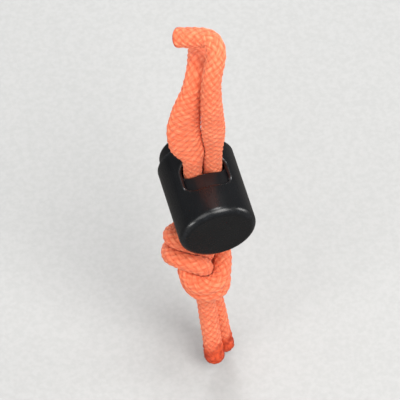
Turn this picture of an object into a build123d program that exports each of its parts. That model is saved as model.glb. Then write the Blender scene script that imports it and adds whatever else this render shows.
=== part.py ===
from build123d import *
import math
import os

# Barrel cord lock on a doubled, knotted drawcord. Millimetres.
# +Z runs up along the cord hole, so the cord hangs straight down through it. The barrel's
# axis is Y: its closed end faces -Y (back) and its button faces +Y (front).
# Parts are drawn about the point where the barrel's axis crosses its cord hole's, then
# exported with the origin at the centre of the closed end's outer face.

# ---------------------------------------------------------------- barrel sizes
BARREL_R = 7.75
BARREL_WALL = 0.85
BORE_R = BARREL_R - BARREL_WALL
BARREL_BACK = -10.4               # outer face of the closed end
BARREL_BASE = 1.5                 # thickness of the closed end
BARREL_FLOOR = BARREL_BACK + BARREL_BASE
BARREL_RIM = 7.4                  # open rim
END_ROUND = 1.5                   # outer edge of the closed end
RIM_ROUND = 0.32                  # outer edge of the rim
RIM_CHAMFER = 0.28                # inner edge of the rim
FLOOR_ROUND = 0.6                 # inside corner between bore and floor
SEAT_R, SEAT_H = 3.25, 0.9        # raised seat on the floor that centres the spring
SEAT_TAPER = 0.15                 # how much smaller the seat's top radius is

# Cord hole, the same in barrel and plunger
HOLE_W, HOLE_H = 8.6, 7.0         # across X, along Y
HOLE_CORNER_R = 2.2
HOLE_REACH = 10                   # the cutter runs this far above and below the axis
BARREL_HOLE_ROUND = 0.55
PLUNGER_HOLE_ROUND = 0.35

# Snap nubs on the two sides of the bore
NUB_TIP = 6.35                    # distance of the tips from the axis
NUB_W = 1.6                       # along Z
NUB_BACK, NUB_FRONT = -3.4, -1.3
NUB_SLOPE = 1.0                   # length of the sloped front along Y
NUB_ROOT = 0.4                    # depth sunk into the wall
NUB_SLOPE_ROOT = 0.02             # depth in the wall where the slope ends

# ---------------------------------------------------------------- plunger sizes
PLUNGER_R = 6.75
PLUNGER_INNER = -5.2              # inner end, at rest
PLUNGER_OUTER = 10.8              # thumb end, at rest
PLUNGER_ROUND = 1.3               # edge of the thumb end
LEAD_IN, LEAD_LEN = 0.35, 0.5     # bevel of the inner end: along the radius, along Y
DISH_DEPTH = 0.45                 # shallow dish for the thumb
DISH_MARGIN = 0.5                 # flat ring between the dish and the rounded edge
POCKET_R = 4.8                    # spring pocket
POCKET_END = -1.4
PLUNGER_SHIFT = 3.5               # its hole is this far out of line at rest: the press travel

# Side slots for the snap nubs
SLOT_W = 1.9                      # along Z
SLOT_BOTTOM = 6.10                # distance of the slot's bottom from the axis
SLOT_CUT = 2.0                    # cutter size along X
SLOT_BACK, SLOT_FRONT = -3.5, 2.35

# ---------------------------------------------------------------- spring sizes
WIRE = 0.55                       # wire diameter
COIL_R = 4.0                      # mean coil radius
END_TURNS, LIVE_TURNS = 1.0, 4.0  # close coil at each end, evenly spaced coils between
END_RISE = 0.636 * WIRE * END_TURNS   # rise over one close end
SPRING_GAP = 0.01                 # clearance at the floor and at the pocket's end
POINTS_PER_TURN = 12

# ---------------------------------------------------------------- cord sizes
CORD_R = 1.98                     # free cord
KNOT_R = 1.63                     # cord pulled tight in the knot
TAIL_R = 1.72                     # the two tails lie pressed against each other
PINCH_W, PINCH_T = 1.92, 1.58     # half width and half thickness in the lock
PINCH_TOP = (11.0, 15.0)          # heights over which the cord swells to full above the lock
PINCH_BOTTOM = (8.2, 11.0)        # depths over which it tightens towards the knot
KNOT_TOP, KNOT_BOTTOM = -10.0, -25.0
TAIL_END = 6.0                    # the tail is at its full size this far from its tip
END_LEN = 4.8                     # straight run at the top ends
SAMPLES = 600                     # steps along a path for finding heights and frames
LAST_GAP = 0.6                    # stations stop this close to the tip
# Spacing of loft stations: (bend over the next millimetre in radians, spacing above it)
STATION_STEPS = [(0.16, 1.15), (0.05, 1.6)]
STRAIGHT_STEP = 2.6

# Centreline of each strand as (x, y, z), from its top end, down through the window left
# between both holes, through the doubled overhand knot, to its melted tip.
LEFT_PATH = [
    (2.45, 13.53, 29.59), (1.93, 11.98, 30.11), (1.43, 10.47, 30.72), (0.92, 8.93, 31.24),
    (0.33, 7.34, 31.21), (-0.29, 5.93, 30.5), (-0.95, 4.93, 29.3), (-1.65, 4.33, 27.86),
    (-2.35, 3.87, 26.38), (-3.02, 3.47, 24.86), (-3.59, 3.16, 23.28), (-3.99, 2.94, 21.63),
    (-4.14, 2.72, 19.95), (-4.01, 2.49, 18.26), (-3.66, 2.28, 16.61), (-3.15, 2.13, 14.98),
    (-2.61, 1.98, 13.37), (-2.17, 1.82, 11.73), (-2.02, 1.75, 10.03), (-2.02, 1.75, 8.33),
    (-2.02, 1.75, 6.62), (-2.02, 1.75, 4.91), (-2.02, 1.75, 3.2), (-2.02, 1.75, 1.5),
    (-2.02, 1.75, -0.21), (-2.02, 1.75, -1.92), (-2.02, 1.75, -3.63), (-2.02, 1.75, -5.34),
    (-2.02, 1.75, -7.04), (-2.26, 1.26, -8.63), (-2.81, 0.09, -9.73), (-3.41, -1.27, -10.57),
    (-3.97, -2.59, -11.49), (-4.52, -3.8, -12.57), (-4.89, -5.09, -13.62),
    (-5.46, -6.41, -14.55), (-5.79, -7.91, -15.25), (-5.36, -9.45, -15.79),
    (-4.22, -10.64, -16.18), (-2.62, -11.16, -16.35), (-0.95, -10.91, -16.32),
    (0.4, -9.89, -16.2), (1.18, -8.39, -16.1), (1.71, -6.76, -16.09), (2.15, -5.12, -16.12),
    (2.06, -3.42, -16.15), (1.38, -1.86, -16.18), (0.54, -0.37, -16.21), (-0.52, 0.94, -16.1),
    (-1.92, 1.73, -15.57), (-3.36, 1.79, -14.68), (-4.62, 1.22, -13.69), (-5.75, 0.39, -12.71),
    (-6.72, -0.56, -11.68), (-7.15, -1.79, -10.6), (-6.82, -3.19, -9.71),
    (-5.79, -4.46, -9.26), (-4.37, -5.36, -9.42), (-2.95, -5.76, -10.24),
    (-1.88, -5.66, -11.55), (-1.37, -5.21, -13.1), (-1.22, -4.74, -14.73),
    (-1.2, -4.38, -16.4), (-1.34, -3.98, -18.06), (-1.52, -3.73, -19.74),
    (-1.42, -3.74, -21.44), (-1.07, -3.93, -23.1), (-0.72, -4.19, -24.75),
    (-0.4, -4.48, -26.4), (-0.11, -4.79, -28.05), (0.15, -5.11, -29.71), (0.37, -5.46, -31.37),
    (0.57, -5.84, -33.02), (0.75, -6.25, -34.67), (0.91, -6.68, -36.31), (1.06, -7.13, -37.95),
    (1.21, -7.59, -39.59), (1.36, -8.08, -41.22), (1.51, -8.57, -42.85), (1.65, -9.08, -44.47),
    (1.7, -9.59, -46.1),
]
RIGHT_PATH = [
    (-2.23, 12.28, 36.21), (-0.91, 11.41, 36.85), (0.41, 10.56, 37.51), (1.74, 9.7, 38.14),
    (2.98, 8.64, 38.59), (3.66, 7.11, 38.52), (3.63, 5.64, 37.72), (3.19, 4.6, 36.46),
    (2.59, 3.72, 35.13), (2.12, 3.02, 33.65), (1.85, 2.53, 32.05), (1.71, 2.1, 30.4),
    (1.65, 1.74, 28.74), (1.66, 1.48, 27.06), (1.72, 1.33, 25.37), (1.8, 1.28, 23.67),
    (1.89, 1.29, 21.97), (1.97, 1.32, 20.27), (2.03, 1.38, 18.57), (2.06, 1.46, 16.87),
    (2.07, 1.55, 15.17), (2.05, 1.65, 13.47), (2.03, 1.72, 11.77), (2.02, 1.75, 10.06),
    (2.02, 1.75, 8.36), (2.02, 1.75, 6.66), (2.02, 1.75, 4.96), (2.02, 1.75, 3.25),
    (2.02, 1.75, 1.55), (2.02, 1.75, -0.15), (2.02, 1.75, -1.85), (2.02, 1.75, -3.55),
    (2.02, 1.75, -5.26), (2.02, 1.75, -6.96), (1.86, 1.61, -8.64), (1.32, 1.13, -10.17),
    (0.45, 0.42, -11.45), (-0.58, -0.35, -12.56), (-1.68, -1.08, -13.64),
    (-2.84, -1.66, -14.74), (-3.93, -2.44, -15.78), (-4.6, -3.63, -16.79),
    (-4.95, -5.04, -17.67), (-5.21, -6.57, -18.37), (-5.11, -8.15, -18.97),
    (-4.32, -9.54, -19.52), (-2.98, -10.37, -20.11), (-1.39, -10.42, -20.68),
    (0.07, -9.68, -21.08), (1.04, -8.31, -21.23), (1.47, -6.67, -21.1), (1.76, -5.03, -20.78),
    (1.84, -3.38, -20.39), (1.3, -1.83, -20.01), (0.07, -0.73, -19.66), (-1.49, -0.24, -19.23),
    (-3.08, -0.01, -18.65), (-4.64, 0.09, -17.99), (-6.08, -0.12, -17.13),
    (-7.08, -0.93, -16.04), (-7.61, -2.09, -14.91), (-7.98, -3.33, -13.81),
    (-8.13, -4.63, -12.73), (-7.65, -5.98, -11.84), (-6.57, -7.21, -11.41),
    (-5.14, -8.08, -11.62), (-3.74, -8.45, -12.47), (-2.74, -8.31, -13.82),
    (-2.34, -7.92, -15.42), (-2.08, -7.62, -17.08), (-1.85, -7.31, -18.73),
    (-2.03, -7.1, -20.41), (-2.19, -7.11, -22.1), (-2.17, -7.24, -23.8),
    (-2.08, -7.42, -25.49), (-1.96, -7.63, -27.17), (-1.84, -7.87, -28.85),
    (-1.73, -8.15, -30.53), (-1.63, -8.47, -32.2), (-1.55, -8.83, -33.86),
    (-1.47, -9.23, -35.51), (-1.4, -9.66, -37.16), (-1.33, -10.12, -38.8),
    (-1.27, -10.61, -40.43), (-1.22, -11.11, -42.05), (-1.16, -11.62, -43.68),
    (-1.14, -12.13, -45.3),
]


# ---------------------------------------------------------------- shared shapes
def corner_arc(centre_x, centre_y, radius, start_angle, end_angle):
    """Start, middle and end points of an arc; angles in degrees."""
    angles = (start_angle, (start_angle + end_angle) / 2, end_angle)
    return tuple((centre_x + radius * math.cos(math.radians(angle)),
                  centre_y + radius * math.sin(math.radians(angle))) for angle in angles)


def turned(*pieces):
    """Solid of revolution about Y from (radius, y) points and three-point arcs."""
    edges = []
    last = None
    for piece in pieces:
        is_arc = len(piece) == 3
        start = piece[0] if is_arc else piece
        if last is not None and math.dist(last, start) > 1e-6:
            edges.append(Line(last, start))
        if is_arc:
            edges.append(ThreePointArc(*piece))
        last = piece[-1] if is_arc else piece
    return revolve(Face(Wire(edges)), Axis.Y, 360)


def cut_cord_hole(body, body_r, centre_y, rounding):
    """Cut the cord hole along Z and round its edge on the outside of the body."""
    outline = Plane.XY.offset(-HOLE_REACH) * Pos(0, centre_y) * RectangleRounded(
        HOLE_W, HOLE_H, HOLE_CORNER_R)
    body -= extrude(outline, 2 * HOLE_REACH)

    def on_rim(point):
        return (abs(math.hypot(point.X, point.Z) - body_r) < 1e-3
                and abs(point.X) < HOLE_W / 2 + 0.01
                and abs(point.Y - centre_y) < HOLE_H / 2 + 0.01)

    rim = [edge for edge in body.edges() if all(on_rim(edge @ t) for t in (0.1, 0.5, 0.9))]
    return fillet(rim, rounding)


# ---------------------------------------------------------------- barrel
def make_barrel():
    cup = turned(
        (0, BARREL_BACK), (BARREL_R - END_ROUND, BARREL_BACK),
        corner_arc(BARREL_R - END_ROUND, BARREL_BACK + END_ROUND, END_ROUND, -90, 0),
        (BARREL_R, BARREL_RIM - RIM_ROUND),
        corner_arc(BARREL_R - RIM_ROUND, BARREL_RIM - RIM_ROUND, RIM_ROUND, 0, 90),
        (BORE_R + RIM_CHAMFER, BARREL_RIM), (BORE_R, BARREL_RIM - RIM_CHAMFER),
        (BORE_R, BARREL_FLOOR + FLOOR_ROUND),
        corner_arc(BORE_R - FLOOR_ROUND, BARREL_FLOOR + FLOOR_ROUND, FLOOR_ROUND, 0, -90),
        (SEAT_R, BARREL_FLOOR), (SEAT_R - SEAT_TAPER, BARREL_FLOOR + SEAT_H),
        (0, BARREL_FLOOR + SEAT_H), (0, BARREL_BACK))
    cup = cut_cord_hole(cup, BARREL_R, 0, BARREL_HOLE_ROUND)
    # nubs: square at the back, sloped at the front so the plunger snaps past
    for side in (-1, 1):
        outline = Polyline(
            (side * (BORE_R + NUB_ROOT), NUB_BACK), (side * NUB_TIP, NUB_BACK),
            (side * NUB_TIP, NUB_FRONT - NUB_SLOPE),
            (side * (BORE_R + NUB_SLOPE_ROOT), NUB_FRONT),
            (side * (BORE_R + NUB_ROOT), NUB_FRONT), close=True)
        cup += extrude(Plane.XY.offset(-NUB_W / 2) * make_face(outline), NUB_W)
    return cup


# ---------------------------------------------------------------- plunger
def make_plunger():
    # the dish is part of a sphere
    dish_r = PLUNGER_R - PLUNGER_ROUND - DISH_MARGIN
    sphere_r = (dish_r**2 + DISH_DEPTH**2) / (2 * DISH_DEPTH)
    half_angle = math.asin(dish_r / sphere_r) / 2
    dish_bottom = PLUNGER_OUTER - DISH_DEPTH
    dish_middle = (sphere_r * math.sin(half_angle),
                   dish_bottom + sphere_r * (1 - math.cos(half_angle)))
    body = turned(
        (POCKET_R, PLUNGER_INNER), (PLUNGER_R - LEAD_IN, PLUNGER_INNER),
        (PLUNGER_R, PLUNGER_INNER + LEAD_LEN),
        (PLUNGER_R, PLUNGER_OUTER - PLUNGER_ROUND),
        corner_arc(PLUNGER_R - PLUNGER_ROUND, PLUNGER_OUTER - PLUNGER_ROUND,
                   PLUNGER_ROUND, 0, 90),
        ((dish_r, PLUNGER_OUTER), dish_middle, (0, dish_bottom)),
        (0, POCKET_END), (POCKET_R, POCKET_END), (POCKET_R, PLUNGER_INNER))
    body = cut_cord_hole(body, PLUNGER_R, PLUNGER_SHIFT, PLUNGER_HOLE_ROUND)
    for side in (-1, 1):
        body -= Pos(side * (SLOT_BOTTOM + SLOT_CUT / 2), (SLOT_BACK + SLOT_FRONT) / 2, 0) * Box(
            SLOT_CUT, SLOT_FRONT - SLOT_BACK, SLOT_W)
    return body


# ---------------------------------------------------------------- spring
def make_spring():
    back = BARREL_FLOOR + WIRE / 2 + SPRING_GAP
    front = POCKET_END - WIRE / 2 - SPRING_GAP
    turns = 2 * END_TURNS + LIVE_TURNS
    count = int(turns * POINTS_PER_TURN)
    points = []
    for i in range(count + 1):
        turn = turns * i / count
        if turn < END_TURNS:
            y = back + END_RISE * (turn / END_TURNS)**2
        elif turn > turns - END_TURNS:
            y = front - END_RISE * ((turns - turn) / END_TURNS)**2
        else:
            live_len = front - back - 2 * END_RISE
            y = back + END_RISE + live_len * (turn - END_TURNS) / LIVE_TURNS
        angle = 2 * math.pi * turn
        points.append((COIL_R * math.cos(angle), y, COIL_R * math.sin(angle)))
    path = Spline(*points)
    section = Plane(origin=path @ 0, z_dir=path % 0) * Circle(WIRE / 2)
    return sweep(section, path=path)


# ---------------------------------------------------------------- cords
class Strand:
    """Natural cubic spline through points, with knots at the summed chord lengths."""

    def __init__(self, path):
        self.points = points = [Vector(point) for point in path]
        self.knots = knots = [0.0]
        for start, end in zip(path, path[1:]):
            knots.append(knots[-1] + math.dist(start, end))
        self.length = knots[-1]
        # tridiagonal system for the second derivatives, which are zero at both ends
        count = len(points)
        below, diagonal, above = [0.0] * count, [1.0] * count, [0.0] * count
        curvature = [Vector(0, 0, 0)] * count
        for i in range(1, count - 1):
            before, after = knots[i] - knots[i - 1], knots[i + 1] - knots[i]
            below[i], diagonal[i], above[i] = before, 2 * (before + after), after
            curvature[i] = ((points[i + 1] - points[i]) * (6 / after)
                            - (points[i] - points[i - 1]) * (6 / before))
        for i in range(1, count):
            factor = below[i] / diagonal[i - 1]
            diagonal[i] -= factor * above[i - 1]
            curvature[i] = curvature[i] - curvature[i - 1] * factor
        for i in range(count - 2, -1, -1):
            curvature[i] = (curvature[i] - curvature[i + 1] * above[i]) * (1 / diagonal[i])
        self.curvature = curvature

    def at(self, s):
        """Position and unit tangent at distance s."""
        i = 0
        while i < len(self.knots) - 2 and s > self.knots[i + 1]:
            i += 1
        span = self.knots[i + 1] - self.knots[i]
        left, done = self.knots[i + 1] - s, s - self.knots[i]
        bend0, bend1 = self.curvature[i], self.curvature[i + 1]
        line0 = self.points[i] * (1 / span) - bend0 * (span / 6)
        line1 = self.points[i + 1] * (1 / span) - bend1 * (span / 6)
        position = (bend0 * (left**3 / (6 * span)) + bend1 * (done**3 / (6 * span))
                    + line0 * left + line1 * done)
        tangent = (bend1 * (done**2 / (2 * span)) - bend0 * (left**2 / (2 * span))
                   - line0 + line1)
        return position, tangent.normalized()


def ease(x, low, high):
    """Smooth step from 0 at low to 1 at high."""
    u = min(1.0, max(0.0, (x - low) / (high - low)))
    return u * u * (3 - 2 * u)


def half_sizes(z, s, knot_start, knot_end, length):
    """Half width and half thickness of the cord at height z and distance s."""
    if s < knot_start:
        free, tight = ease(z, *PINCH_TOP), ease(-z, *PINCH_BOTTOM)
        return [pinch + (CORD_R - pinch) * free + (KNOT_R - pinch) * tight
                for pinch in (PINCH_W, PINCH_T)]
    if s < knot_end:
        return KNOT_R, KNOT_R
    radius = KNOT_R + (TAIL_R - KNOT_R) * ease(s, knot_end, length - TAIL_END)
    return radius, radius


def square_to(direction, tangent):
    return (direction - tangent * direction.dot(tangent)).normalized()


def place_stations(strand):
    """Loft stations: close together where the cord is bent, wider where it is straight."""
    stations = [END_LEN]
    while stations[-1] < strand.length - LAST_GAP:
        s = stations[-1]
        tangent = strand.at(s)[1]
        ahead = strand.at(min(strand.length, s + 1.0))[1]
        bend = math.acos(max(-1.0, min(1.0, tangent.dot(ahead))))
        step = next((step for limit, step in STATION_STEPS if bend > limit), STRAIGHT_STEP)
        stations.append(s + step)
    stations[-1] = strand.length
    return stations


def make_cord(path):
    strand = Strand(path)
    length = strand.length
    distances = [length * i / SAMPLES for i in range(SAMPLES + 1)]
    samples = [strand.at(s) for s in distances]
    heights = [position.Z for position, _ in samples]
    lock = min(range(SAMPLES + 1), key=lambda i: abs(heights[i]))
    knot_start = next(distances[i] for i in range(lock, SAMPLES + 1) if heights[i] < KNOT_TOP)
    knot_end = next(distances[i] for i in range(SAMPLES, 0, -1) if heights[i] > KNOT_BOTTOM)

    # carry the wide direction both ways from the lock, where it lies along X
    wide = {}
    for order in (range(lock, SAMPLES + 1), range(lock, -1, -1)):
        direction = Vector(1, 0, 0)
        for i in order:
            direction = square_to(direction, samples[i][1])
            wide[i] = direction

    # the top end is a true cylinder from the cut to the first station
    cut = strand.at(0.0)[0]
    top_run = strand.at(END_LEN)[0] - cut
    top_direction = top_run.normalized()

    sections = []
    for s in place_stations(strand):
        position, tangent = strand.at(s)
        if s == END_LEN:
            tangent = top_direction
        width, thickness = half_sizes(position.Z, s, knot_start, knot_end, length)
        nearest = min(SAMPLES, round(s / length * SAMPLES))
        plane = Plane(origin=position, x_dir=square_to(wide[nearest], tangent), z_dir=tangent)
        is_oval = abs(width - thickness) > 1e-6
        sections.append(plane * (Ellipse(width, thickness) if is_oval else Circle(width)))
    cord = loft(sections)
    cord += extrude(Plane(origin=cut, z_dir=top_direction) * Circle(CORD_R), top_run.length)
    return cord


os.makedirs("parts", exist_ok=True)
PARTS = {
    "barrel": make_barrel(),
    "plunger": make_plunger(),
    "spring": make_spring(),
    "cord_left": make_cord(LEFT_PATH),
    "cord_right": make_cord(RIGHT_PATH),
}
for name, shape in PARTS.items():
    export_step(Pos(0, -BARREL_BACK, 0) * shape, "parts/" + name + ".step")
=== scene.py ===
"""Cord lock: a black moulded barrel lock on two strands of orange braided drawcord, tied
below the lock in a doubled overhand knot. The barrel lies along Y, with the centre of its
closed end at the origin; the strands pass through it along Z, with the knot underneath.
Lengths are in millimetres until they are multiplied by MM."""
import math

import bpy
import numpy as np
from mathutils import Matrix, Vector


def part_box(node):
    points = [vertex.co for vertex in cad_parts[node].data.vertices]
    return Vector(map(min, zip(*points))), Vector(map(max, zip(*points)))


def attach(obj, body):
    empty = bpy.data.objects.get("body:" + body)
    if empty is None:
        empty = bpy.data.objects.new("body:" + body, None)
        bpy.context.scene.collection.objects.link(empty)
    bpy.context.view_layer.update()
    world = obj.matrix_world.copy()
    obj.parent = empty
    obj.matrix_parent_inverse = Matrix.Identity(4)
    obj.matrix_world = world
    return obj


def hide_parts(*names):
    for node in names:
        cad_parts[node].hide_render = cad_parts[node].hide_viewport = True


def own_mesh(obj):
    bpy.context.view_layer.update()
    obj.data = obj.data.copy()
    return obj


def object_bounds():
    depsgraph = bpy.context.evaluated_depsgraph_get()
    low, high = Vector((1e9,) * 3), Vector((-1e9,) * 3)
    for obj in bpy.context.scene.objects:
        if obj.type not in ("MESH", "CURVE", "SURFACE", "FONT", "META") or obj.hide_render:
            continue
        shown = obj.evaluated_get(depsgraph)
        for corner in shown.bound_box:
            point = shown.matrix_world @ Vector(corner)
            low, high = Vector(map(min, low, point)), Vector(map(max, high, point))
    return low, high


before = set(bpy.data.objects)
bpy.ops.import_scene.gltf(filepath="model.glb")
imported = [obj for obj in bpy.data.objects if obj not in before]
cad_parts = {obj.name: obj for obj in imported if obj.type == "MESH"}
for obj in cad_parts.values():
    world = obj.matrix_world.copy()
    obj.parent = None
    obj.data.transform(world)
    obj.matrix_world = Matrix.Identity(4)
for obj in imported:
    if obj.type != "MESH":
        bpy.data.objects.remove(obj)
CAD_LO, CAD_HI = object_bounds()
MM = 0.001

# ------------------------------------------------------------------ dimensions, mm
HOLE = np.array([0.0, 10.4, 0.0])   # middle of the cord hole

BARREL_EDGES_Y = (0.0, 17.8)        # worn rims of the barrel
BARREL_RADIUS = 7.75
PLUNGER_EDGE_Y = 21.2               # worn rim of the plunger
PLUNGER_RADIUS = 6.75

WIRE = 0.55                         # spring wire diameter
COIL_RADIUS = 4.0

CORD_STEP = 0.13                    # between rings along the cord
AROUND = 112                        # points around each ring
CARRIERS = 8                        # yarns in each direction
LAY = 12.5                          # one turn of a yarn takes this much cord
LOCK_HALF_WIDTH, LOCK_HALF_THICKNESS = 1.92, 1.58
KNOT_RADIUS = 1.98

# Cord section above the lock: Z of the stations, then half width and half thickness there.
SECTION_Z = (7.0, 8.6, 10.4, 11.3, 12.3, 13.6, 16.0, 20.0, 24.0, 28.0, 32.0, 36.0)
HALF_WIDTH = {
    "left": (1.92, 2.06, 2.20, 2.62, 3.05, 3.38, 3.52, 3.58, 3.12, 2.45, 2.08, 2.0),
    "right": (1.92, 1.93, 1.94, 2.00, 2.07, 2.18, 2.40, 2.52, 2.34, 2.12, 2.02, 2.0),
}
HALF_THICKNESS = {
    "left": (1.58, 1.57, 1.55, 1.48, 1.42, 1.36, 1.24, 1.20, 1.36, 1.72, 1.95, 2.0),
    "right": (1.58, 1.58, 1.58, 1.59, 1.60, 1.62, 1.66, 1.70, 1.80, 1.90, 2.0, 2.0),
}
LEAN = {"left": 0.72, "right": -0.108}      # shift along X where the strands close in

# Cord centrelines from the upper end to the melted tip: x, y, z from HOLE.
PATHS = {
    "left": [
        (2.45, 13.53, 29.59), (1.93, 11.98, 30.11), (1.43, 10.47, 30.72), (0.92, 8.93, 31.24),
        (0.33, 7.34, 31.21), (-0.29, 5.93, 30.5), (-0.95, 4.93, 29.3), (-1.65, 4.33, 27.86),
        (-2.35, 3.87, 26.38), (-3.02, 3.47, 24.86), (-3.59, 3.16, 23.28), (-3.99, 2.94, 21.63),
        (-4.14, 2.72, 19.95), (-4.01, 2.49, 18.26), (-3.66, 2.28, 16.61), (-3.15, 2.13, 14.98),
        (-2.61, 1.98, 13.37), (-2.17, 1.82, 11.73), (-2.02, 1.75, 10.03), (-2.02, 1.75, 8.33),
        (-2.02, 1.75, 6.62), (-2.02, 1.75, 4.91), (-2.02, 1.75, 3.2), (-2.02, 1.75, 1.5),
        (-2.02, 1.75, -0.21), (-2.02, 1.75, -1.92), (-2.02, 1.75, -3.63), (-2.02, 1.75, -5.34),
        (-2.02, 1.75, -7.04), (-2.26, 1.26, -8.63), (-2.81, 0.09, -9.73), (-3.41, -1.27, -10.57),
        (-3.97, -2.59, -11.49), (-4.52, -3.8, -12.57), (-4.89, -5.09, -13.62),
        (-5.46, -6.41, -14.55), (-5.79, -7.91, -15.25), (-5.36, -9.45, -15.79),
        (-4.22, -10.64, -16.18), (-2.62, -11.16, -16.35), (-0.95, -10.91, -16.32),
        (0.4, -9.89, -16.2), (1.18, -8.39, -16.1), (1.71, -6.76, -16.09), (2.15, -5.12, -16.12),
        (2.06, -3.42, -16.15), (1.38, -1.86, -16.18), (0.54, -0.37, -16.21), (-0.52, 0.94, -16.1),
        (-1.92, 1.73, -15.57), (-3.36, 1.79, -14.68), (-4.62, 1.22, -13.69), (-5.75, 0.39, -12.71),
        (-6.72, -0.56, -11.68), (-7.15, -1.79, -10.6), (-6.82, -3.19, -9.71),
        (-5.79, -4.46, -9.26), (-4.37, -5.36, -9.42), (-2.95, -5.76, -10.24),
        (-1.88, -5.66, -11.55), (-1.37, -5.21, -13.1), (-1.22, -4.74, -14.73),
        (-1.2, -4.38, -16.4), (-1.34, -3.98, -18.06), (-1.52, -3.73, -19.74),
        (-1.42, -3.74, -21.44), (-1.07, -3.93, -23.1), (-0.72, -4.19, -24.75),
        (-0.4, -4.48, -26.4), (-0.11, -4.79, -28.05), (0.15, -5.11, -29.71), (0.37, -5.46, -31.37),
        (0.57, -5.84, -33.02), (0.75, -6.25, -34.67), (0.91, -6.68, -36.31), (1.06, -7.13, -37.95),
        (1.21, -7.59, -39.59), (1.36, -8.08, -41.22), (1.51, -8.57, -42.85), (1.65, -9.08, -44.47),
        (1.7, -9.59, -46.1),
    ],
    "right": [
        (-2.23, 12.28, 36.21), (-0.91, 11.41, 36.85), (0.41, 10.56, 37.51), (1.74, 9.7, 38.14),
        (2.98, 8.64, 38.59), (3.66, 7.11, 38.52), (3.63, 5.64, 37.72), (3.19, 4.6, 36.46),
        (2.59, 3.72, 35.13), (2.12, 3.02, 33.65), (1.85, 2.53, 32.05), (1.71, 2.1, 30.4),
        (1.65, 1.74, 28.74), (1.66, 1.48, 27.06), (1.72, 1.33, 25.37), (1.8, 1.28, 23.67),
        (1.89, 1.29, 21.97), (1.97, 1.32, 20.27), (2.03, 1.38, 18.57), (2.06, 1.46, 16.87),
        (2.07, 1.55, 15.17), (2.05, 1.65, 13.47), (2.03, 1.72, 11.77), (2.02, 1.75, 10.06),
        (2.02, 1.75, 8.36), (2.02, 1.75, 6.66), (2.02, 1.75, 4.96), (2.02, 1.75, 3.25),
        (2.02, 1.75, 1.55), (2.02, 1.75, -0.15), (2.02, 1.75, -1.85), (2.02, 1.75, -3.55),
        (2.02, 1.75, -5.26), (2.02, 1.75, -6.96), (1.86, 1.61, -8.64), (1.32, 1.13, -10.17),
        (0.45, 0.42, -11.45), (-0.58, -0.35, -12.56), (-1.68, -1.08, -13.64),
        (-2.84, -1.66, -14.74), (-3.93, -2.44, -15.78), (-4.6, -3.63, -16.79),
        (-4.95, -5.04, -17.67), (-5.21, -6.57, -18.37), (-5.11, -8.15, -18.97),
        (-4.32, -9.54, -19.52), (-2.98, -10.37, -20.11), (-1.39, -10.42, -20.68),
        (0.07, -9.68, -21.08), (1.04, -8.31, -21.23), (1.47, -6.67, -21.1), (1.76, -5.03, -20.78),
        (1.84, -3.38, -20.39), (1.3, -1.83, -20.01), (0.07, -0.73, -19.66), (-1.49, -0.24, -19.23),
        (-3.08, -0.01, -18.65), (-4.64, 0.09, -17.99), (-6.08, -0.12, -17.13),
        (-7.08, -0.93, -16.04), (-7.61, -2.09, -14.91), (-7.98, -3.33, -13.81),
        (-8.13, -4.63, -12.73), (-7.65, -5.98, -11.84), (-6.57, -7.21, -11.41),
        (-5.14, -8.08, -11.62), (-3.74, -8.45, -12.47), (-2.74, -8.31, -13.82),
        (-2.34, -7.92, -15.42), (-2.08, -7.62, -17.08), (-1.85, -7.31, -18.73),
        (-2.03, -7.1, -20.41), (-2.19, -7.11, -22.1), (-2.17, -7.24, -23.8),
        (-2.08, -7.42, -25.49), (-1.96, -7.63, -27.17), (-1.84, -7.87, -28.85),
        (-1.73, -8.15, -30.53), (-1.63, -8.47, -32.2), (-1.55, -8.83, -33.86),
        (-1.47, -9.23, -35.51), (-1.4, -9.66, -37.16), (-1.33, -10.12, -38.8),
        (-1.27, -10.61, -40.43), (-1.22, -11.11, -42.05), (-1.16, -11.62, -43.68),
        (-1.14, -12.13, -45.3),
    ],
}


# ------------------------------------------------------------------ numeric tools
def ease(f):
    return f * f * (3 - 2 * f)


def smooth(x, low, high):
    """Smooth step from 0 at low to 1 at high."""
    return ease(np.clip((np.asarray(x, float) - low) / (high - low), 0.0, 1.0))


def hash01(i, salt):
    v = np.sin(np.asarray(i, float) * 12.9898 + salt * 78.233) * 43758.5453
    return v - np.floor(v)


def noise1(x, salt):
    """Smooth value noise in one dimension, -1 to 1."""
    cell = np.floor(x)
    f = ease(x - cell)
    return (hash01(cell, salt) * (1 - f) + hash01(cell + 1, salt) * f) * 2 - 1


def noise3(points, salt):
    """Smooth value noise in three dimensions, -1 to 1."""
    cell = np.floor(points)
    f = ease(points - cell)
    total = np.zeros(points.shape[:-1])
    for x in (0, 1):
        for y in (0, 1):
            for z in (0, 1):
                key = (cell[..., 0] + x) + (cell[..., 1] + y) * 57.0 + (cell[..., 2] + z) * 113.0
                weight = ((f[..., 0] if x else 1 - f[..., 0])
                          * (f[..., 1] if y else 1 - f[..., 1])
                          * (f[..., 2] if z else 1 - f[..., 2]))
                total += hash01(key, salt) * weight
    return total * 2 - 1


def unit(vectors):
    return vectors / np.linalg.norm(vectors, axis=-1)[..., None]


def running_length(points):
    return np.r_[0, np.cumsum(np.linalg.norm(np.diff(points, axis=0), axis=1))]


def natural_spline(points):
    """Knots and second derivatives of a natural cubic spline through the points."""
    knots = running_length(points)
    h = np.diff(knots)
    count = len(points)
    system = np.zeros((count, count))
    target = np.zeros((count, 3))
    system[0, 0] = system[-1, -1] = 1
    for i in range(1, count - 1):
        system[i, i - 1:i + 2] = h[i - 1], 2 * (h[i - 1] + h[i]), h[i]
        target[i] = 6 * ((points[i + 1] - points[i]) / h[i]
                         - (points[i] - points[i - 1]) / h[i - 1])
    return knots, np.linalg.solve(system, target)


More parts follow.
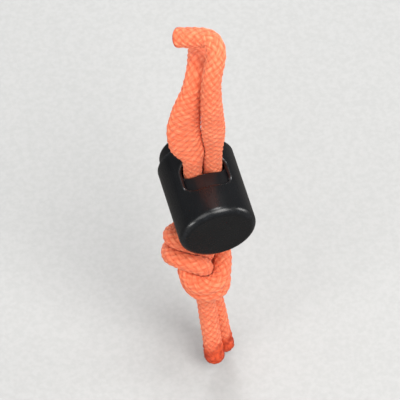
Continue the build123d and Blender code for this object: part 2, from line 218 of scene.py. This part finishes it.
def spline_point(points, knots, bend, at):
    """Positions and unit tangents of the spline at the given parameters."""
    i = np.clip(np.searchsorted(knots, at, side="right") - 1, 0, len(points) - 2)
    h = (knots[i + 1] - knots[i])[:, None]
    ahead = (knots[i + 1] - at)[:, None]
    behind = (at - knots[i])[:, None]
    start = points[i] / h - bend[i] * h / 6
    end = points[i + 1] / h - bend[i + 1] * h / 6
    place = (bend[i] * ahead**3 / (6 * h) + bend[i + 1] * behind**3 / (6 * h)
             + start * ahead + end * behind)
    tangent = -bend[i] * ahead**2 / (2 * h) + bend[i + 1] * behind**2 / (2 * h) - start + end
    return place, unit(tangent)


def even_path(table, step):
    """Centreline at even arc-length steps: positions, tangents and the arc length itself."""
    points = np.asarray(table, float)
    knots, bend = natural_spline(points)
    fine = np.linspace(0, knots[-1], 6000)
    arc = running_length(spline_point(points, knots, bend, fine)[0])
    even = np.linspace(0, arc[-1], int(round(arc[-1] / step)) + 1)
    place, tangent = spline_point(points, knots, bend, np.interp(even, arc, fine))
    return place, tangent, even


def carry_frame(tangent, start, first):
    """The direction first, carried along the path without twist, both ways from start."""
    count = len(tangent)
    carried = np.zeros((count, 3))
    for order in (range(start, count), range(start, -1, -1)):
        x = np.array(first, float)
        for i in order:
            x = unit(x - tangent[i] * (x @ tangent[i]))
            carried[i] = x
    return carried


# ------------------------------------------------------------------ materials
class Nodes:
    """Short-hand for building a node material."""

    def __init__(self, name):
        self.mat = bpy.data.materials.new(name)
        self.mat.use_nodes = True
        self.tree = self.mat.node_tree
        self.tree.nodes.clear()
        out = self.new("ShaderNodeOutputMaterial")
        self.bsdf = self.new("ShaderNodeBsdfPrincipled")
        self.put(out.inputs[0], self.bsdf.outputs[0])

    def new(self, kind, **props):
        node = self.tree.nodes.new(kind)
        for key, value in props.items():
            setattr(node, key, value)
        return node

    def put(self, socket, value):
        """Link the socket if the value is a socket itself, else set it."""
        if isinstance(value, bpy.types.NodeSocket):
            self.tree.links.new(value, socket)
        else:
            socket.default_value = value

    def fill(self, node, values):
        for key, value in values.items():
            self.put(node.inputs[key], value)

    def surface(self, values):
        self.fill(self.bsdf, values)
        return self.mat

    def math(self, operation, a, b=0.0):
        node = self.new("ShaderNodeMath", operation=operation)
        self.fill(node, {0: a, 1: b})
        return node.outputs[0]

    def plus(self, a, b):
        return self.math("ADD", a, b)

    def minus(self, a, b):
        return self.math("SUBTRACT", a, b)

    def times(self, a, b):
        return self.math("MULTIPLY", a, b)

    def ramp(self, value, span, to=(0.0, 1.0)):
        """Smooth step over span, remapped to the range to."""
        node = self.new("ShaderNodeMapRange", interpolation_type="SMOOTHSTEP")
        self.fill(node, {"Value": value, "From Min": span[0], "From Max": span[1],
                         "To Min": to[0], "To Max": to[1]})
        return node.outputs["Result"]

    def noise(self, coords, scale, detail=2.0, rough=0.5, distortion=0.0):
        node = self.new("ShaderNodeTexNoise")
        self.fill(node, {"Vector": coords, "Scale": scale, "Detail": detail,
                         "Roughness": rough, "Distortion": distortion})
        return node.outputs["Fac"]

    def mix(self, fac, a, b):
        node = self.new("ShaderNodeMix", data_type="RGBA")
        self.fill(node, {0: fac, 6: a, 7: b})
        return node.outputs[2]

    def vector_math(self, operation, a, b):
        node = self.new("ShaderNodeVectorMath", operation=operation)
        self.fill(node, {0: a, 1: b})
        return node.outputs

    def mapping(self, coords, scale, rotation=(0.0, 0.0, 0.0)):
        node = self.new("ShaderNodeMapping")
        self.fill(node, {"Vector": coords, "Rotation": rotation, "Scale": scale})
        return node.outputs[0]

    def separate(self, vector):
        node = self.new("ShaderNodeSeparateXYZ")
        self.put(node.inputs[0], vector)
        return node.outputs

    def bump(self, height, strength, distance, normal=None):
        node = self.new("ShaderNodeBump")
        self.fill(node, {"Strength": strength, "Distance": distance, "Height": height})
        if normal is not None:
            self.put(node.inputs["Normal"], normal)
        return node.outputs["Normal"]

    def attribute(self, name):
        return self.new("ShaderNodeAttribute", attribute_name=name).outputs["Fac"]

    def position(self):
        return self.new("ShaderNodeTexCoord").outputs["Object"]


def rgb(*channels):
    """sRGB 0-255 to linear."""
    shares = [c / 255 for c in channels]
    return tuple(c / 12.92 if c <= 0.04045 else ((c + 0.055) / 1.055) ** 2.4
                 for c in shares) + (1.0,)


def moulded_plastic(name, base, worn, rough, edges_y, edge_radius, seed):
    """Black acetal: even gloss with faint flow marks, fine texture and lightly polished,
    paler edges where it is handled."""
    m = Nodes(name)
    place = m.position()
    coords = m.vector_math("ADD", place, (seed, seed * 0.37, -seed * 0.61))[0]
    x, y, z = m.separate(place)
    radius = m.math("SQRT", m.plus(m.times(x, x), m.times(z, z)))
    # flow marks run along the barrel
    flow = m.noise(m.mapping(coords, scale=(1.0, 0.22, 1.0)),
                   scale=420.0, detail=3.0, rough=0.55, distortion=0.6)
    cloud = m.noise(coords, scale=190.0, detail=4.0, rough=0.6)
    grain = m.noise(coords, scale=5200.0, detail=2.0, rough=0.6)
    fine = m.noise(coords, scale=1500.0, detail=3.0, rough=0.6)
    # wear near the given rims
    wear = None
    for edge_y in edges_y:
        distance = m.math("ABSOLUTE", m.minus(y, edge_y * MM))
        near_y = m.ramp(distance, span=(0.1 * MM, 0.9 * MM), to=(1.0, 0.0))
        near_rim = m.ramp(radius, span=((edge_radius - 1.3) * MM, (edge_radius - 0.1) * MM))
        both = m.times(near_y, near_rim)
        wear = both if wear is None else m.math("MAXIMUM", wear, both)
    # wear on every sharp edge, found where the bevelled normal turns from the true one
    bevel = m.new("ShaderNodeBevel", samples=4)
    bevel.inputs["Radius"].default_value = 0.28 * MM
    geometry = m.new("ShaderNodeNewGeometry").outputs
    turned = m.vector_math("DOT_PRODUCT", bevel.outputs[0], geometry["Normal"])["Value"]
    # the smooth normal is unsure at the very centre of a turned face; the facet's is not
    centre = m.ramp(radius, span=(0.9 * MM, 1.8 * MM), to=(1.0, 0.0))
    normal = m.new("ShaderNodeMix", data_type="VECTOR")
    m.fill(normal, {0: centre, 4: geometry["Normal"], 5: geometry["True Normal"]})
    edge = m.times(m.ramp(turned, span=(0.90, 0.995), to=(1.0, 0.0)), m.minus(1.0, centre))
    wear = m.math("MAXIMUM", wear, m.times(edge, 0.8))
    # broken up by noise
    broken = m.ramp(m.noise(coords, scale=900.0, detail=3.0, rough=0.7), span=(0.42, 0.62))
    wear = m.times(wear, m.plus(m.times(broken, 0.35), 0.2))
    # scuffs: long thin scratches
    drawn = m.mapping(coords, rotation=(0.5, 0.9, 0.35), scale=(260.0, 6500.0, 2600.0))
    scratch = m.ramp(m.noise(drawn, scale=1.0, detail=1.0, rough=0.4), span=(0.70, 0.80))

    paler = tuple(v * 1.35 for v in base[:3]) + (1,)
    tone = m.mix(m.ramp(cloud, span=(0.3, 0.7)), base, paler)
    tone = m.mix(m.times(wear, 0.55), tone, worn)
    tone = m.mix(m.times(scratch, 0.10), tone, worn)
    # scratches are duller, worn edges glossier
    gloss = m.ramp(flow, span=(0.25, 0.75), to=(rough - 0.035, rough + 0.05))
    gloss = m.plus(gloss, m.times(scratch, 0.10))
    gloss = m.minus(gloss, m.times(wear, 0.05))
    relief = m.plus(m.times(fine, 0.6), m.times(grain, 0.25))
    relief = m.plus(relief, m.times(flow, 0.9))
    relief = m.minus(relief, m.times(scratch, 0.25))
    bumped = m.bump(relief, strength=0.22, distance=0.012 * MM, normal=normal.outputs[1])
    return m.surface({"Base Color": tone, "Roughness": gloss, "IOR": 1.48, "Normal": bumped})


def steel_wire():
    """Bright spring wire with fine roughness from drawing."""
    m = Nodes("spring_steel")
    coords = m.position()
    cloud = m.noise(coords, scale=700.0, detail=3.0, rough=0.6)
    drawing = m.noise(coords, scale=9000.0, detail=2.0, rough=0.7)
    return m.surface({
        "Base Color": m.mix(m.ramp(cloud, span=(0.35, 0.7)),
                            (0.46, 0.46, 0.45, 1), (0.60, 0.59, 0.56, 1)),
        "Metallic": 1.0,
        "Roughness": m.ramp(drawing, span=(0.3, 0.7), to=(0.20, 0.38)),
        "Normal": m.bump(drawing, strength=0.3, distance=0.01 * MM),
    })


def braided_cord(name, seed):
    """Polyester braid: per-yarn tone, painted shade in the crevices, painted highlights on the
    yarn crowns, fine filaments along whichever yarn is on top, a soft sheen, and a melted,
    darker, glossier skin where the attribute says so."""
    # painted light: the first colour is painted shade for the crevices (also used for darker
    # random tone), the third a painted highlight for crowns and filaments
    shade_and_dark_tone, middle, painted_lit = rgb(204, 78, 42), rgb(239, 118, 77), rgb(250, 149, 107)
    melt_dark, melt_light = rgb(158, 48, 25), rgb(210, 80, 44)
    m = Nodes(name)
    a, b, _ = m.separate(m.new("ShaderNodeUVMap", uv_map="braid").outputs[0])
    on_top, height, melt, yarn_tone = (
        m.attribute(key) for key in ("on_top", "height", "melt", "yarn_tone"))
    coords = m.position()

    def streaks(across, along, fine, coarse):
        """Noise that is narrow across the yarn and long along it."""
        vector = m.new("ShaderNodeCombineXYZ")
        m.fill(vector, {0: m.times(across, fine), 1: m.times(along, coarse), 2: seed * 3.7})
        return m.noise(vector.outputs[0], scale=1.0, detail=2.0, rough=0.6)

    def filaments(across, along):
        bundles = m.times(streaks(across, along, fine=5.0, coarse=0.5), 0.6)
        single = m.times(streaks(across, along, fine=16.0, coarse=0.8), 0.4)
        return m.plus(bundles, single)

    of_a, of_b = filaments(a, b), filaments(b, a)
    filament = m.plus(m.times(of_a, on_top), m.times(of_b, m.minus(1.0, on_top)))
    filament = m.ramp(filament, span=(0.38, 0.62))
    cloud = m.noise(coords, scale=140.0, detail=3.0, rough=0.55)
    fuzz = m.noise(coords, scale=2600.0, detail=3.0, rough=0.7)

    # painted shade in the crevices and a painted highlight on the crowns, then darker tone yarn
    # by yarn and in clouds, and painted light and shade in streaks along the filaments
    colour = m.mix(m.ramp(height, span=(0.05, 0.72)), shade_and_dark_tone, middle)
    painted_crown_highlight = m.times(m.ramp(height, span=(0.55, 1.0)),
                    m.ramp(filament, span=(0.1, 0.9), to=(0.25, 1.0)))
    colour = m.mix(painted_crown_highlight, colour, painted_lit)
    colour = m.mix(m.times(yarn_tone, 0.30), colour, shade_and_dark_tone)
    colour = m.mix(m.ramp(cloud, span=(0.42, 0.75), to=(0.0, 0.22)), colour, shade_and_dark_tone)
    colour = m.mix(m.ramp(filament, span=(0.70, 1.0), to=(0.0, 0.30)), colour, painted_lit)
    colour = m.mix(m.ramp(filament, span=(0.0, 0.30), to=(0.40, 0.0)), colour, shade_and_dark_tone)
    patches = m.noise(coords, scale=900.0, detail=3.0, rough=0.6)
    burnt = m.mix(m.ramp(patches, span=(0.35, 0.65)), melt_dark, melt_light)

    relief = m.plus(m.times(filament, 1.0), m.times(fuzz, 0.35))
    relief = m.times(relief, m.ramp(melt, span=(0.1, 0.8), to=(1.0, 0.15)))
    return m.surface({
        "Base Color": m.mix(melt, colour, burnt),
        "Roughness": m.ramp(melt, span=(0.1, 0.9), to=(0.74, 0.34)),
        "IOR": 1.45,
        "Sheen Weight": m.ramp(melt, span=(0.0, 0.6), to=(0.26, 0.0)),
        "Sheen Roughness": 0.45,
        "Sheen Tint": rgb(255, 205, 185),
        "Subsurface Weight": 0.08,
        "Subsurface Radius": (1.0, 0.35, 0.2),
        "Subsurface Scale": 0.45 * MM,
        "Normal": m.bump(relief, strength=0.85, distance=0.09 * MM),
    })


def floor_paper():
    """Grey paper, darker where the glossy plastic mirrors it."""
    m = Nodes("floor_paper")
    grain = m.noise(m.position(), scale=900.0, detail=3.0, rough=0.6)
    paper = m.mix(m.ramp(grain, span=(0.3, 0.7)),
                  (0.37, 0.37, 0.366, 1), (0.40, 0.40, 0.396, 1))
    mirrored = m.new("ShaderNodeLightPath").outputs["Is Glossy Ray"]
    return m.surface({"Base Color": m.mix(mirrored, paper, (0.07, 0.066, 0.062, 1)),
                      "Roughness": 0.85})


BARREL_PLASTIC = moulded_plastic(
    "barrel_plastic", base=rgb(13, 14, 16), worn=rgb(66, 69, 74), rough=0.26,
    edges_y=BARREL_EDGES_Y, edge_radius=BARREL_RADIUS, seed=0.013)
PLUNGER_PLASTIC = moulded_plastic(
    "plunger_plastic", base=rgb(16, 16, 18), worn=rgb(66, 68, 72), rough=0.34,
    edges_y=(PLUNGER_EDGE_Y,), edge_radius=PLUNGER_RADIUS, seed=0.047)
SPRING_STEEL = steel_wire()
CORD_BRAID = {"left": braided_cord("braided_cord_left", seed=1),
              "right": braided_cord("braided_cord_right", seed=2)}


# ------------------------------------------------------------------ mesh helpers
def link_object(name, data):
    ob = bpy.data.objects.new(name, data)
    bpy.context.collection.objects.link(ob)
    return ob


def grid_tube(name, rings, uv=None, attributes=None):
    """Closed tube from rings[ring, around, 3] in metres, with end caps fanned to a centre.
    uv is [ring, around + 1, 2], so that the seam's last column has its own coordinates."""
    count, k, _ = rings.shape
    verts = rings.reshape(-1, 3)
    around = np.arange(k)
    following = (around + 1) % k
    i = np.arange(count - 1)[:, None] * k
    quads = np.stack([i + around, i + following, i + k + following, i + k + around], -1)
    quads = quads.reshape(-1, 4)
    centre = len(verts)
    verts = np.vstack([verts, rings[0].mean(0), rings[-1].mean(0)])
    last = (count - 1) * k
    first_cap = np.stack([np.full(k, centre), following, around], -1)
    last_cap = np.stack([np.full(k, centre + 1), last + around, last + following], -1)

    mesh = bpy.data.meshes.new(name)
    mesh.vertices.add(len(verts))
    mesh.vertices.foreach_set("co", verts.astype(np.float32).ravel())
    loops = np.concatenate([quads.ravel(), first_cap.ravel(), last_cap.ravel()])
    starts = np.concatenate([np.arange(len(quads)) * 4,
                             len(quads) * 4 + np.arange(2 * k) * 3])
    totals = np.concatenate([np.full(len(quads), 4), np.full(2 * k, 3)])
    mesh.loops.add(len(loops))
    mesh.loops.foreach_set("vertex_index", loops.astype(np.int32))
    mesh.polygons.add(len(starts))
    mesh.polygons.foreach_set("loop_start", starts.astype(np.int32))
    mesh.polygons.foreach_set("loop_total", totals.astype(np.int32))
    mesh.polygons.foreach_set("use_smooth", np.ones(len(starts), bool))
    mesh.update(calc_edges=True)
    mesh.validate()
    if uv is not None:
        layer = mesh.uv_layers.new(name="braid")
        corners = np.stack([uv[:-1, :-1], uv[:-1, 1:], uv[1:, 1:], uv[1:, :-1]], 2)
        caps = [np.repeat(uv[end].mean(0)[None], 3 * k, 0) for end in (0, -1)]
        per_corner = np.vstack([corners.reshape(-1, 2), *caps])
        layer.data.foreach_set("uv", per_corner.astype(np.float32).ravel())
    for key, values in (attributes or {}).items():
        full = np.concatenate([values.reshape(-1), [values[0].mean(), values[-1].mean()]])
        attribute = mesh.attributes.new(key, "FLOAT", "POINT")
        attribute.data.foreach_set("value", full.astype(np.float32))
    return link_object(name, mesh)


# ------------------------------------------------------------------ braided cords
ANGLES = np.arange(AROUND) / AROUND * 2 * np.pi
COS, SIN = np.cos(ANGLES), np.sin(ANGLES)


class Strand:
    """A strand's centreline, the frame carried along it, and its half width (along the
    carried X) and half thickness at each station."""

    def __init__(self, side):
        self.centre, self.tangent, self.arc = even_path(PATHS[side], CORD_STEP)
        self.z = z = self.centre[:, 2].copy()
        # the station in the lock: Z nearest 0 within the first 75 mm
        lock = int(np.argmin(np.abs(z) + np.where(self.arc < 75, 0, 99)))
        # above the lock the strands close in
        self.centre[:, 0] += LEAN[side] * (np.exp(-((z - 21.0) / 4.8) ** 2)
                                           * smooth(z, low=13.0, high=17.0))
        self.across = carry_frame(self.tangent, lock, (1, 0, 0))
        self.depth = np.cross(self.tangent, self.across)
        self.width = self.section(lock, LOCK_HALF_WIDTH, HALF_WIDTH[side])
        self.thickness = self.section(lock, LOCK_HALF_THICKNESS, HALF_THICKNESS[side])

    def section(self, lock, in_lock, above):
        """Pinched in the lock, spread flat above it, round at the top and in the knot."""
        z = self.z
        half = np.full(len(z), in_lock)
        highest = np.maximum.accumulate(z[lock::-1])[::-1]
        half[:lock + 1] = np.interp(highest, SECTION_Z, above)
        below = smooth(-z, low=8.0, high=10.6) * (np.arange(len(z)) >= lock)
        half += (KNOT_RADIUS - half) * below
        # never thinner again once the strand has entered the knot
        half[lock + np.argmax(z[lock:] < -10.8):] = KNOT_RADIUS
        kernel = np.hanning(15)
        kernel /= kernel.sum()
        return np.convolve(np.pad(half, 7, mode="edge"), kernel, mode="valid")

    def place(self, x, y):
        """Vectors in each ring's plane from x (across) and y (depth) [ring, around]."""
        return x[..., None] * self.across[:, None, :] + y[..., None] * self.depth[:, None, :]


def press_apart(strand, width, thickness, neighbours, gap=0.0):
    """Radius scale [ring, around] that stops the surface at the plane between it and any
    other centreline that lies closer than the free cords would allow. The plane divides the
    distance as the two half widths do. A neighbour is its points, its half widths, and its
    arc lengths if it is the same strand."""
    limit = np.ones((len(strand.centre), AROUND))
    for points, widths, arc in neighbours:
        offset = points[None, :, :] - strand.centre[:, None, :]
        distance = np.linalg.norm(offset, axis=2)
        close = distance < width[:, None] + widths[None, :] + 0.5
        if arc is not None:
            # leave out the cord's own next few millimetres
            close &= np.abs(strand.arc[:, None] - arc[None, :]) > 7.5
        for r in np.nonzero(close.any(axis=1))[0]:
            near = close[r]
            length = distance[r, near]
            towards = offset[r, near] / length[:, None]
            surface = (COS[:, None] * strand.across[r] * width[r]
                       + SIN[:, None] * strand.depth[r] * thickness[r])
            reach = surface @ towards.T
            allowed = length * width[r] / (width[r] + widths[near]) - gap
            with np.errstate(divide="ignore", invalid="ignore"):
                scale = np.where(reach > 1e-6, allowed[None, :] / reach, 9.0)
            limit[r] = np.minimum(limit[r], scale.min(axis=1))
    return np.clip(limit, 0.35, 1.0)


def blur(field, passes=4):
    """Smooths a [ring, around] field; around is periodic."""
    for _ in range(passes):
        field = 0.5 * field + 0.25 * (np.roll(field, 1, 1) + np.roll(field, -1, 1))
    for _ in range(passes):
        field = np.vstack([field[:1], 0.5 * field[1:-1] + 0.25 * (field[:-2] + field[2:]),
                           field[-1:]])
    return field


def braid(arc, seed):
    """Two families of yarns that wind opposite ways, passing over and under: their
    coordinates as UVs, the relief 0 to 1, which family is on top, and each yarn's tone."""
    turn = np.arange(AROUND + 1) / AROUND
    phase = (arc / LAY + 0.02 * noise1(arc / 6.0, seed + 9))[:, None]
    uv = np.stack([CARRIERS * (turn + phase), CARRIERS * (turn - phase)], -1)
    yarn_a, yarn_b = uv[:, :-1, 0], uv[:, :-1, 1]
    index_a, index_b = np.floor(yarn_a), np.floor(yarn_b)
    part_a, part_b = yarn_a - index_a, yarn_b - index_b
    over = np.where((index_a + index_b) % 2 == 0, 1.0, -1.0)
    lift_a = 0.5 + 0.5 * over * (np.sin(np.pi * part_a) * np.sin(np.pi * part_b))

    def relief(part, lift, index, salt):
        """A yarn's rounded section, its rise and fall, and how loosely it lies."""
        hump = np.clip(1 - np.abs(2 * part - 1) ** 2.6, 0, 1) ** 0.62
        loose = 1 + 0.10 * (hash01(index % CARRIERS, salt) - 0.5)
        return (hump * 0.62 + 0.38 * (lift * 2 - 1) * hump) * loose

    height_a = relief(part_a, lift_a, index_a, seed + 1)
    height_b = relief(part_b, 1 - lift_a, index_b, seed + 2)
    a_on_top = height_a >= height_b
    height = np.clip(np.maximum(height_a, height_b) / 1.02, 0, 1)
    tone = np.where(a_on_top, hash01(index_a % CARRIERS, seed + 11),
                    hash01(index_b % CARRIERS, seed + 12))
    return uv, height, np.where(a_on_top, 1.0, 0.0), tone


def make_cord(side, seed):
    strand = STRANDS[side]
    other = STRANDS["right" if side == "left" else "left"]
    z, arc = strand.z, strand.arc
    # soft goods: the thickness wanders a little along the free cord
    free = 1 - np.exp(-((z - 1.5) / 10.5) ** 4)
    wander = (1 + 0.018 * noise1(arc / 3.1, seed) * free
              + 0.012 * noise1(arc / 1.3, seed + 5) * free)
    inside = (z > -8.4) & (z < 10.9)
    wander = np.where(inside, np.minimum(wander, 1.0), wander)
    width, thickness = strand.width * wander, strand.thickness * wander
    neighbours = [(other.centre[::3], other.width[::3], None),
                  (strand.centre[::3], width[::3], arc[::3])]
    limit = press_apart(strand, width, thickness, neighbours)
    limit = np.minimum(blur(limit), limit)
    uv, height, on_top, tone = braid(arc, seed)

    # melted skin at both ends, with a ragged border that follows the yarns
    to_tip = arc[-1] - arc
    jag = (0.55 * noise1(uv[:, :-1, 0] + 31, seed + 3)
           + 0.35 * noise1(uv[:, :-1, 1] + 17, seed + 4))
    melt = 1 - smooth(to_tip[:, None] + jag * 1.6, low=3.8, high=6.9)
    top_melt = 1 - smooth(arc[:, None] + jag * 0.3, low=0.15, high=0.75)
    # braid depth: pressed flat where cords touch, inside the lock and under melted skin
    amount = 0.27 * (0.45 + 0.55 * smooth(limit, low=0.86, high=1.0))
    amount = amount * np.where(inside, 0.62, 1.0)[:, None]
    amount = amount * (1 - 0.93 * melt) * (1 - 0.85 * top_melt)

    # radial profile: a domed, slightly swollen tip and a softened cut at the upper end
    tip_length, cut_length = 2.0, 0.35
    dome = np.sqrt(np.clip(1 - (1 - np.clip(to_tip / tip_length, 0, 1)) ** 2.6, 0, 1))
    cut = np.sqrt(np.clip(1 - (1 - np.clip(arc / cut_length, 0, 1)) ** 2, 0, 1)) * 0.10 + 0.90
    profile = np.maximum(dome, 0.05) * cut
    # nothing swells towards a neighbour within about 0.3 mm
    gapped = blur(press_apart(strand, width, thickness, neighbours, gap=0.35))
    free_side = smooth(gapped, low=0.88, high=0.99)
    swell = 1 + 0.07 * np.exp(-((to_tip - 1.9) / 1.0) ** 2)[:, None] * free_side
    radius = limit * profile[:, None] * swell
    skin = strand.centre[:, None, :] + strand.place(COS * width[:, None] * radius,
                                                    SIN * thickness[:, None] * radius)
    # outward normal of the ellipse section
    normal = unit(strand.place(COS / width[:, None], SIN / thickness[:, None]))
    lumps = (noise3(skin * 1.5, seed + 6) * 0.16 + noise3(skin * 3.4, seed + 7) * 0.06)
    lumps = lumps * free_side * melt * smooth(to_tip, low=0.0, high=0.6)[:, None]
    # the melted skin runs a little past the cut, unevenly
    run = (melt * 0.15 * noise3(skin * 1.1, seed + 8)
           * smooth(tip_length - to_tip, low=0.0, high=1.4)[:, None])
    rings = (skin + normal * (lumps - amount * (1 - height))[..., None]
             + strand.tangent[:, None, :] * run[..., None])

    ob = grid_tube("cord_" + side, (rings + HOLE) * MM, uv=uv, attributes={
        "height": height * (1 - melt),
        "on_top": on_top,
        "melt": np.clip(melt + 0.75 * top_melt, 0, 1),
        "yarn_tone": tone,
    })
    ob.data.materials.append(CORD_BRAID[side])
    ob.name = "braided_cord_" + side
    return ob


STRANDS = {side: Strand(side) for side in PATHS}
for side, seed in (("left", 3.0), ("right", 8.0)):
    cord = make_cord(side, seed)
    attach(cord, "drawcord")
    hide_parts("cord_" + side)


# ------------------------------------------------------------------ spring
def make_spring():
    """Round wire, one dead coil ground flat at each end, matched to the CAD spring's box."""
    dead, live = 1.0, 4.0           # coils at each end, coils between
    steps_per_turn, wire_sides = 72, 20
    seat = 0.02                     # ground off at each end
    low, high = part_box("spring")
    y0, y1 = low.y / MM, high.y / MM
    first, last = y0 + WIRE / 2, y1 - WIRE / 2
    turns = dead * 2 + live
    steps = int(turns * steps_per_turn)
    turn = np.linspace(0, turns, steps + 1)
    rise = WIRE * 1.06 * 1.2 / 2    # climb of the first turn; a dead coil climbs as turn squared
    ramp = rise * dead
    y = np.where(
        turn < dead, first + rise * turn**2 / dead,
        np.where(turn > turns - dead, last - rise * (turns - turn)**2 / dead,
                 first + ramp + (last - first - 2 * ramp) * (turn - dead) / live))
    angle = 2 * np.pi * turn
    centre = np.stack([COIL_RADIUS * np.cos(angle), y, COIL_RADIUS * np.sin(angle)], 1)
    tangent = unit(np.gradient(centre, axis=0))
    out = np.stack([np.cos(angle), 0 * angle, np.sin(angle)], 1)
    out = unit(out - tangent * (out * tangent).sum(1)[:, None])
    side = np.cross(tangent, out)
    around = (np.arange(wire_sides) / wire_sides * 2 * np.pi)[None, :, None]
    # deburred wire ends: full radius three steps in
    from_end = np.minimum(turn, turns - turn) / turns * steps
    radius = WIRE / 2 * np.clip(0.82 + 0.18 * from_end / 3, 0, 1)
    rings = centre[:, None, :] + radius[:, None, None] * (
        np.cos(around) * out[:, None, :] + np.sin(around) * side[:, None, :])
    rings[..., 1] = np.clip(rings[..., 1], y0 + seat, y1 - seat)
    ob = grid_tube("coil_spring", rings * MM)
    ob.data.materials.append(SPRING_STEEL)
    return ob


spring = make_spring()
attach(spring, "lock")
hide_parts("spring")
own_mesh(spring)


# ------------------------------------------------------------------ plastic parts: CAD nodes
for node, material in (("barrel", BARREL_PLASTIC), ("plunger", PLUNGER_PLASTIC)):
    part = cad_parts[node]
    part.data.materials.clear()
    part.data.materials.append(material)


# ------------------------------------------------------------------ stage, light, camera
def make_floor(half, z):
    mesh = bpy.data.meshes.new("floor")
    corners = [(-half, -half, z), (half, -half, z), (half, half, z), (-half, half, z)]
    mesh.from_pydata(corners, [], [(0, 1, 2, 3)])
    ob = link_object("floor", mesh)
    ob.data.materials.append(floor_paper())


def direction(azimuth, elevation):
    """Unit vector in degrees; azimuth 0 is -Y and turns towards +X."""
    a, e = math.radians(azimuth), math.radians(elevation)
    return Vector((math.sin(a) * math.cos(e), -math.cos(a) * math.cos(e), math.sin(e)))


def aim_from(ob, target, back, distance):
    """Puts ob at distance (metres) from the target along back, looking at the target."""
    ob.location = target + back * distance
    ob.rotation_mode = "QUATERNION"
    ob.rotation_quaternion = (-back).to_track_quat("-Z", "Y")


make_floor(half=3.0, z=CAD_LO.z - 1.5 * MM)

LIT_CENTRE = Vector((-1.6, 9.4, -3.0)) * MM
# name, azimuth and elevation in degrees, distance, width and height in metres, watts, colour
LIGHTS = (
    ("key", 28, 56, 0.55, 0.32, 0.32, 2.9, (1.0, 0.985, 0.96)),
    ("left_key", -52, 46, 0.60, 0.40, 0.40, 1.3, (0.99, 0.99, 0.98)),
    ("low", -62, 9, 0.50, 0.20, 0.09, 0.8, (1.0, 0.99, 0.97)),
    ("side", 82, 12, 0.60, 0.20, 0.26, 1.3, (1.0, 0.99, 0.97)),
    ("rim", 172, 32, 0.60, 0.30, 0.18, 2.0, (0.97, 0.985, 1.0)),
    ("over", 140, 79, 0.55, 0.16, 0.16, 1.1, (1, 1, 1)),
)
for name, azimuth, elevation, distance, width, height, power, colour in LIGHTS:
    lamp = bpy.data.lights.new(name, "AREA")
    lamp.shape = "RECTANGLE"
    lamp.size = width
    lamp.size_y = height
    lamp.energy = power
    lamp.color = colour
    aim_from(link_object(name, lamp), LIT_CENTRE, direction(azimuth, elevation), distance)


def make_world():
    """Pale surroundings, dimmer where the glossy plastic would mirror them, as black flags
    round a product table do."""
    strength, mirrored_strength = 0.44, 0.15
    world = bpy.data.worlds.new("studio")
    bpy.context.scene.world = world
    world.use_nodes = True
    tree = world.node_tree
    background = tree.nodes["Background"].inputs
    background[0].default_value = (0.93, 0.94, 0.95, 1)
    path = tree.nodes.new("ShaderNodeLightPath")
    choose = tree.nodes.new("ShaderNodeMapRange")
    tree.links.new(path.outputs["Is Glossy Ray"], choose.inputs["Value"])
    choose.inputs["To Min"].default_value = strength
    choose.inputs["To Max"].default_value = mirrored_strength
    tree.links.new(choose.outputs[0], background[1])


def make_camera():
    azimuth, elevation, distance = -15.4, 57.0, 0.655       # degrees, degrees, metres
    shift_right, shift_up = -1.0 * MM, -1.6 * MM            # of the aim, from the cord hole
    data = bpy.data.cameras.new("camera")
    data.lens = 300
    data.sensor_width = 36
    data.clip_start = 0.01
    data.clip_end = 20
    camera = link_object("camera", data)
    back = direction(azimuth, elevation)
    turn = math.radians(azimuth)
    right = Vector((math.cos(turn), math.sin(turn), 0))
    target = Vector(HOLE) * MM + right * shift_right + back.cross(right) * shift_up
    aim_from(camera, target, back, distance)
    bpy.context.scene.camera = camera


make_world()
make_camera()
bpy.context.scene.view_settings.view_transform = "Standard"
